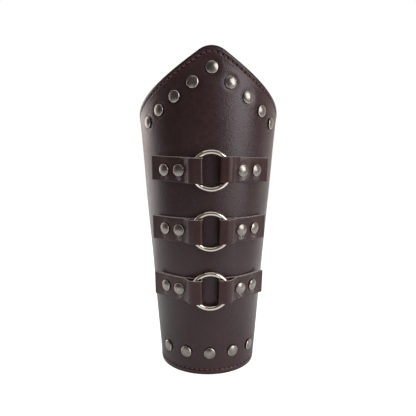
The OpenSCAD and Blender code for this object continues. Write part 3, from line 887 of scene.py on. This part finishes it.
def strap_piece(node_name, z, side, lift, lean, seed):
    """A folded strap; side is -1 for the left one, and lean is how far its inner and outer ends lie up."""
    rng = np.random.default_rng(seed)
    half_w, half_t = STRAP_W / 2, STRAP_T / 2
    # slices across the strap, close together at its edges, which are thinner
    edge_w = half_w - np.array([0, 0.12, 0.4])
    across = np.concatenate([-edge_w, np.linspace(-half_w + 1.0, half_w - 1.0, 19), edge_w[::-1]])
    thin = np.ones(len(across))
    thin[[0, -1]], thin[[1, -2]] = 0.45, 0.80
    reach = slant(z)
    up_cone, out_cone = np.array([0, -SIN, COS]), np.array([0, -COS, -SIN])
    sag, sag_place = rng.uniform(-0.15, 0.15, 2)
    layers = []
    for w, t in zip(across, thin):
        grow = (reach + w) / reach
        line, s, run = strap_line(z, grow, lift)
        shift = lean[0] + (lean[1] - lean[0]) * (run - FOLD_X) / (STRAP_REACH - FOLD_X)
        regrow = (reach + w + shift) / (reach + w)
        tangent = np.gradient(line, axis=0)
        tangent /= np.linalg.norm(tangent, axis=1)[:, None]
        normal = np.stack([-tangent[:, 1], tangent[:, 0]], -1)
        line = line + normal * (sag * SAG * math.sin(w / SAG_WAVE + sag_place * 9))
        dent = np.zeros(len(line))
        for rivet in (RIVET_IN, RIVET_OUT):
            r = np.hypot(s - rivet, w)
            dent -= STRAP_DENT * (1 - smooth(*STRAP_DENT_R, r))
            dent += STRAP_SWELL * bell(r - STRAP_SWELL_R, SWELL_W)
        skins = []
        for sign, share in ((1, 1.0), (-1, 0.4)):
            skin = line + normal * (sign * half_t * t + dent * share)[:, None]
            p = (reach + w + shift)[:, None] * up_cone
            p[:, 0] += regrow * grow * skin[:, 0] * side
            p += (regrow * grow * skin[:, 1])[:, None] * out_cone
            p[:, 2] += APEX
            skins.append(p)
        layers.append((skins, s))
    stations = len(layers[0][1])
    verts = np.stack([skins[0] for skins, _ in layers] + [skins[1] for skins, _ in reversed(layers)], 1)
    around = verts.shape[1]
    faces = grid_faces(stations, around, wrap=True, flip=side > 0)
    count = len(across)
    base = (stations - 1) * around
    for j in range(count - 1):
        a, b, c, d = j, j + 1, around - 2 - j, around - 1 - j
        start = (a, b, c, d)
        end = (base + d, base + c, base + b, base + a)
        faces.append(start if side > 0 else start[::-1])
        faces.append(end if side > 0 else end[::-1])
    # the pale cut edge is the leather's own colour, painted strongest on the upper edge as painted light
    # from above and faint on the lower edge as painted shade
    cut = np.zeros((stations, around))
    for j, share in ((0, 0.35), (count - 3, 0.48), (count - 2, 0.75), (count - 1, 1.0)):
        cut[:, [j, around - 1 - j]] = share
    crease = np.zeros((stations, around))
    creased = np.flatnonzero((across > CREASE_BAND[0]) & (across < CREASE_BAND[1]))
    for rivet in (RIVET_IN, RIVET_OUT):
        crease[:, creased] += bell(layers[0][1] - rivet, CREASE_W)[:, None]
    return make_piece(
        f"{node_name}_leather", verts.reshape(-1, 3), faces, strap_leather, [node_name],
        attributes={"cut": cut.ravel(), "crease": np.clip(crease, 0, 1).ravel()},
    )


# How far each strap's end lifts off, left and right, and how far its inner and outer ends lie up
TAIL_LIFTS = {"lower": (1.4, 1.4), "middle": (1.1, 0.2), "upper": (0.1, 0.3)}
STRAP_LEANS = {
    "lower": ((-0.2, -0.3), (0.3, 0.0)),
    "middle": ((0.0, -0.3), (0.2, 0.0)),
    "upper": ((-0.1, 1.4), (1.1, 0.0)),
}
for number, (row, z) in enumerate(ROWS.items()):
    for side, word in ((-1, "left"), (1, "right")):
        lift, lean = TAIL_LIFTS[row][side > 0], STRAP_LEANS[row][side > 0]
        strap_piece(f"{row}_{word}_strap", z, side, lift, lean, seed=40 + 2 * number + side)


# Rings
def ring_piece(row, z):
    around, sides = 160, 32
    a = np.arange(around) * 2 * math.pi / around
    b = np.arange(sides) * 2 * math.pi / sides
    r = RING_R + WIRE_R * np.cos(b)
    height = np.tile(WIRE_R * np.sin(b), (around, 1))
    local = np.stack([np.outer(np.cos(a), r), np.outer(np.sin(a), r), height], -1)
    origin, axes = seat_frame(0, z)
    verts = origin + local @ axes + axes[2] * RING_LIFT
    faces = grid_faces(around, sides, wrap=True, flip=True)
    last = (around - 1) * sides
    for j in range(sides):
        k = (j + 1) % sides
        faces.append((last + j, j, k, last + k))
    node_name = f"{row}_ring"
    verts = verts.reshape(-1, 3)
    make_piece(f"{node_name}_wire", verts, faces, nickel, [node_name], body=node_name)


for row, z in ROWS.items():
    ring_piece(row, z)


# Rivet caps: how far the rim lies inside the model's, its radius and the dome's slope where they meet
RIM_INSET, RIM_R, DOME_SLOPE = 0.18, 0.95, math.radians(25)


def cap_profile():
    """Profile of a cap, from the top of its low dome over the turned-down rim to the middle underneath."""
    rim_mid = CAP_R - RIM_INSET - RIM_R
    dome_r = rim_mid + RIM_R * math.sin(DOME_SLOPE)
    dome_fall = dome_r * math.tan(DOME_SLOPE) / 2
    rim_y = CAP_H - dome_fall - RIM_R * math.cos(DOME_SLOPE)
    points = [(0.0, CAP_H)]
    for r in np.linspace(0.25, dome_r, 17):
        points.append((r, CAP_H - dome_fall * (r / dome_r) ** 2))
    for a in np.linspace(math.pi / 2 - DOME_SLOPE, math.radians(-6), 16)[1:]:
        points.append((rim_mid + RIM_R * math.cos(a), rim_y + RIM_R * math.sin(a)))
    points += [(CAP_R - 0.25, 0.02), (CAP_R - CAP_RIM, 0.0), (3.6, 0.10), (0.0, 0.10)]
    return points


def caps_piece(name, places, seat, replaced, seed):
    """A row of caps, each with three shallow dents of its own, a worn rim and painted shade at the foot of
    its wall.
    """
    rng = np.random.default_rng(seed)
    shape, one = lathe(cap_profile(), 64)
    r, height = np.hypot(shape[:, 0], shape[:, 1]), shape[:, 2]
    around = np.arctan2(shape[:, 1], shape[:, 0])
    # where the dents fade out, and where the rim wears bright, by radius and height
    dome = (1 - smooth(2.8, 4.0, r)) * (height > 0.9)
    rim = smooth(4.2, 4.5, r) * (height > 0.4)
    verts, faces, worn = [], [], []
    for number, (turn, z) in enumerate(places):
        origin, axes = seat_frame(turn, z)
        local = shape.copy()
        for _ in range(3):
            at = rng.uniform(-2.6, 2.6, 2)
            deep, wide = rng.uniform(0.01, 0.035), rng.uniform(1.1, 2.0)
            local[:, 2] -= dome * deep * bell(np.hypot(shape[:, 0] - at[0], shape[:, 1] - at[1]), wide)
        lean = rng.normal(0, 0.012, 2)
        local[:, 2] += local[:, 0] * lean[0] + local[:, 1] * lean[1]
        verts.append(origin + local @ axes + axes[2] * (seat + SEAT))
        faces += [tuple(v + number * len(shape) for v in f) for f in one]
        rim_wear = rim * (0.75 + 0.25 * np.sin(2 * around + rng.uniform(0, 6)))
        worn.append(np.clip(rim_wear + 0.25 * bell(r, 1.8), 0, 1))
    # the foot of each cap's wall is painted dark, as painted shade
    painted_shade = np.tile(0.9 * (1 - smooth(0.40, 0.80, height)), len(places))
    make_piece(
        name, np.concatenate(verts), faces, pewter, replaced,
        attributes={"worn": np.concatenate(worn), "painted_shade": painted_shade},
    )


caps_piece("elbow_rivet_domes", elbow_rivets, 0.0, ["elbow_rivet_caps"], seed=11)
caps_piece("wrist_rivet_domes", wrist_rivets, 0.0, ["wrist_rivet_caps"], seed=12)
for number, (row, z) in enumerate(ROWS.items()):
    node_name = f"{row}_strap_rivet_caps"
    caps_piece(f"{row}_strap_rivet_domes", row_rivets(z), STACK_H, [node_name], seed=21 + number)

# The posts, eyelets and washers are the model's own, in the same metals
for node_name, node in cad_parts.items():
    for word, metal in (("_posts", pewter), ("eyelet", nickel)):
        if word in node_name:
            node.data.materials.clear()
            node.data.materials.append(metal)


# Floor, lamps and world, in metres
FLOOR_R, FLOOR_DROP, FLOOR_SIDES = 4.0, 0.0002, 96
FLOOR_COLOUR, FLOOR_DIM = (0.75, 0.75, 0.75, 1), (0.25, 0.25, 0.25, 1)


def floor():
    """A pale floor that is white to the camera, keeps the shadow, and is dim in front to glossy leather."""
    mesh = bpy.data.meshes.new("floor")
    ring = []
    for a in np.arange(FLOOR_SIDES) * 2 * math.pi / FLOOR_SIDES:
        ring.append((FLOOR_R * math.cos(a), FLOOR_R * math.sin(a), 0))
    faces = [(0, 1 + i, 1 + (i + 1) % FLOOR_SIDES) for i in range(FLOOR_SIDES)]
    mesh.from_pydata([(0, 0, 0)] + ring, [], faces)
    obj = bpy.data.objects.new("floor", mesh)
    bpy.context.scene.collection.objects.link(obj)
    obj.location.z = -FLOOR_DROP
    material = bpy.data.materials.new("floor_white")
    n = Nodes(material)
    out = n.add("ShaderNodeOutputMaterial")
    diffuse, glow = n.add("ShaderNodeBsdfDiffuse"), n.add("ShaderNodeEmission")
    both = n.add("ShaderNodeAddShader")
    path = n.add("ShaderNodeLightPath")
    far = n.add("ShaderNodeVectorMath", operation="LENGTH")
    n.put(far.inputs[0], n.place)
    split = n.add("ShaderNodeSeparateXYZ")
    n.put(split.inputs[0], n.place)
    glossy, distance = path.outputs["Is Glossy Ray"], far.outputs["Value"]
    aside, back = n.math("ABSOLUTE", split.outputs[0]), split.outputs[1]
    near_glow = n.ramp(distance, 0.08, 0.40, 0.22, 0.0)
    side_glow = n.math("MULTIPLY", n.ramp(aside, 0.04, 0.14), n.ramp(distance, 0.35, 0.75, 0.55, 0.0))
    back_glow = n.ramp(back, 0.0, 0.4, 0.0, 0.7)
    seen = n.math("MULTIPLY", path.outputs["Is Camera Ray"], 0.80)
    mirrored = n.math("MAXIMUM", n.math("MAXIMUM", near_glow, side_glow), back_glow)
    n.put(glow.inputs["Strength"], n.math("MAXIMUM", seen, n.math("MULTIPLY", glossy, mirrored)))
    front_far = n.math("MULTIPLY", n.ramp(distance, 0.12, 0.60), n.ramp(back, -0.10, 0.0, 1.0, 0.0))
    n.put(diffuse.inputs[0], n.mix(n.math("MULTIPLY", glossy, front_far), FLOOR_COLOUR, FLOOR_DIM))
    n.put(both.inputs[0], diffuse.outputs[0])
    n.put(both.inputs[1], glow.outputs[0])
    n.put(out.inputs[0], both.outputs[0])
    mesh.materials.append(material)


floor()


LAMPS_FACE = Vector((0, 0, 0.13))


def softbox(name, azimuth, elevation, distance, size, watts, roll=0, tint=(1, 1, 1)):
    """A soft lamp that faces the bracer's middle. Azimuth 0 is in front and 90 at the viewer's right."""
    data = bpy.data.lights.new(name, "AREA")
    data.shape = "RECTANGLE"
    data.size, data.size_y = size
    data.energy = watts
    data.color = tint
    obj = bpy.data.objects.new(name, data)
    bpy.context.scene.collection.objects.link(obj)
    a, e = math.radians(azimuth), math.radians(elevation)
    way = Vector((math.sin(a) * math.cos(e), -math.cos(a) * math.cos(e), math.sin(e)))
    obj.location = LAMPS_FACE + way * distance
    facing = (-way).to_track_quat("-Z", "Y").to_matrix() @ Matrix.Rotation(math.radians(roll), 3, "Z")
    obj.rotation_euler = facing.to_euler()


softbox("right_softbox", azimuth=47, elevation=16, distance=1.15, size=(0.72, 0.95), watts=9.4, roll=20)
softbox(
    "left_softbox", azimuth=-128, elevation=10, distance=1.1, size=(0.85, 1.1), watts=4.2,
    tint=(1.0, 0.94, 0.91),
)
softbox("top_softbox", azimuth=10, elevation=78, distance=1.1, size=(1.0, 1.0), watts=2.5)


def background(n, colour, strength):
    node = n.add("ShaderNodeBackground")
    n.put(node.inputs["Color"], colour)
    n.put(node.inputs["Strength"], strength)
    return node.outputs[0]


def choose(n, share, a, b):
    """Shader a where share is 0 and b where it is 1."""
    node = n.add("ShaderNodeMixShader")
    for socket, value in zip(node.inputs, (share, a, b)):
        n.put(socket, value)
    return node.outputs[0]


def studio_world():
    """White to the camera, dim in front and bright behind to gloss, and an even fill to all other rays."""
    world = bpy.data.worlds.new("studio")
    bpy.context.scene.world = world
    n = Nodes(world, "Generated")
    split = n.add("ShaderNodeSeparateXYZ")
    n.put(split.inputs[0], n.place)
    path = n.add("ShaderNodeLightPath")
    gloss = n.math("MAXIMUM", path.outputs["Is Glossy Ray"], path.outputs["Is Transmission Ray"])
    fill = background(n, (1, 1, 1, 1), 0.42)
    mirrored = background(n, (1.0, 0.87, 0.80, 1), n.ramp(split.outputs[1], -0.25, 0.50, 0.12, 0.90))
    white = background(n, (1, 1, 1, 1), 1.0)
    seen = choose(n, path.outputs["Is Camera Ray"], choose(n, gloss, fill, mirrored), white)
    n.put(n.add("ShaderNodeOutputWorld").inputs[0], seen)


studio_world()

bpy.context.scene.view_settings.view_transform = "Standard"
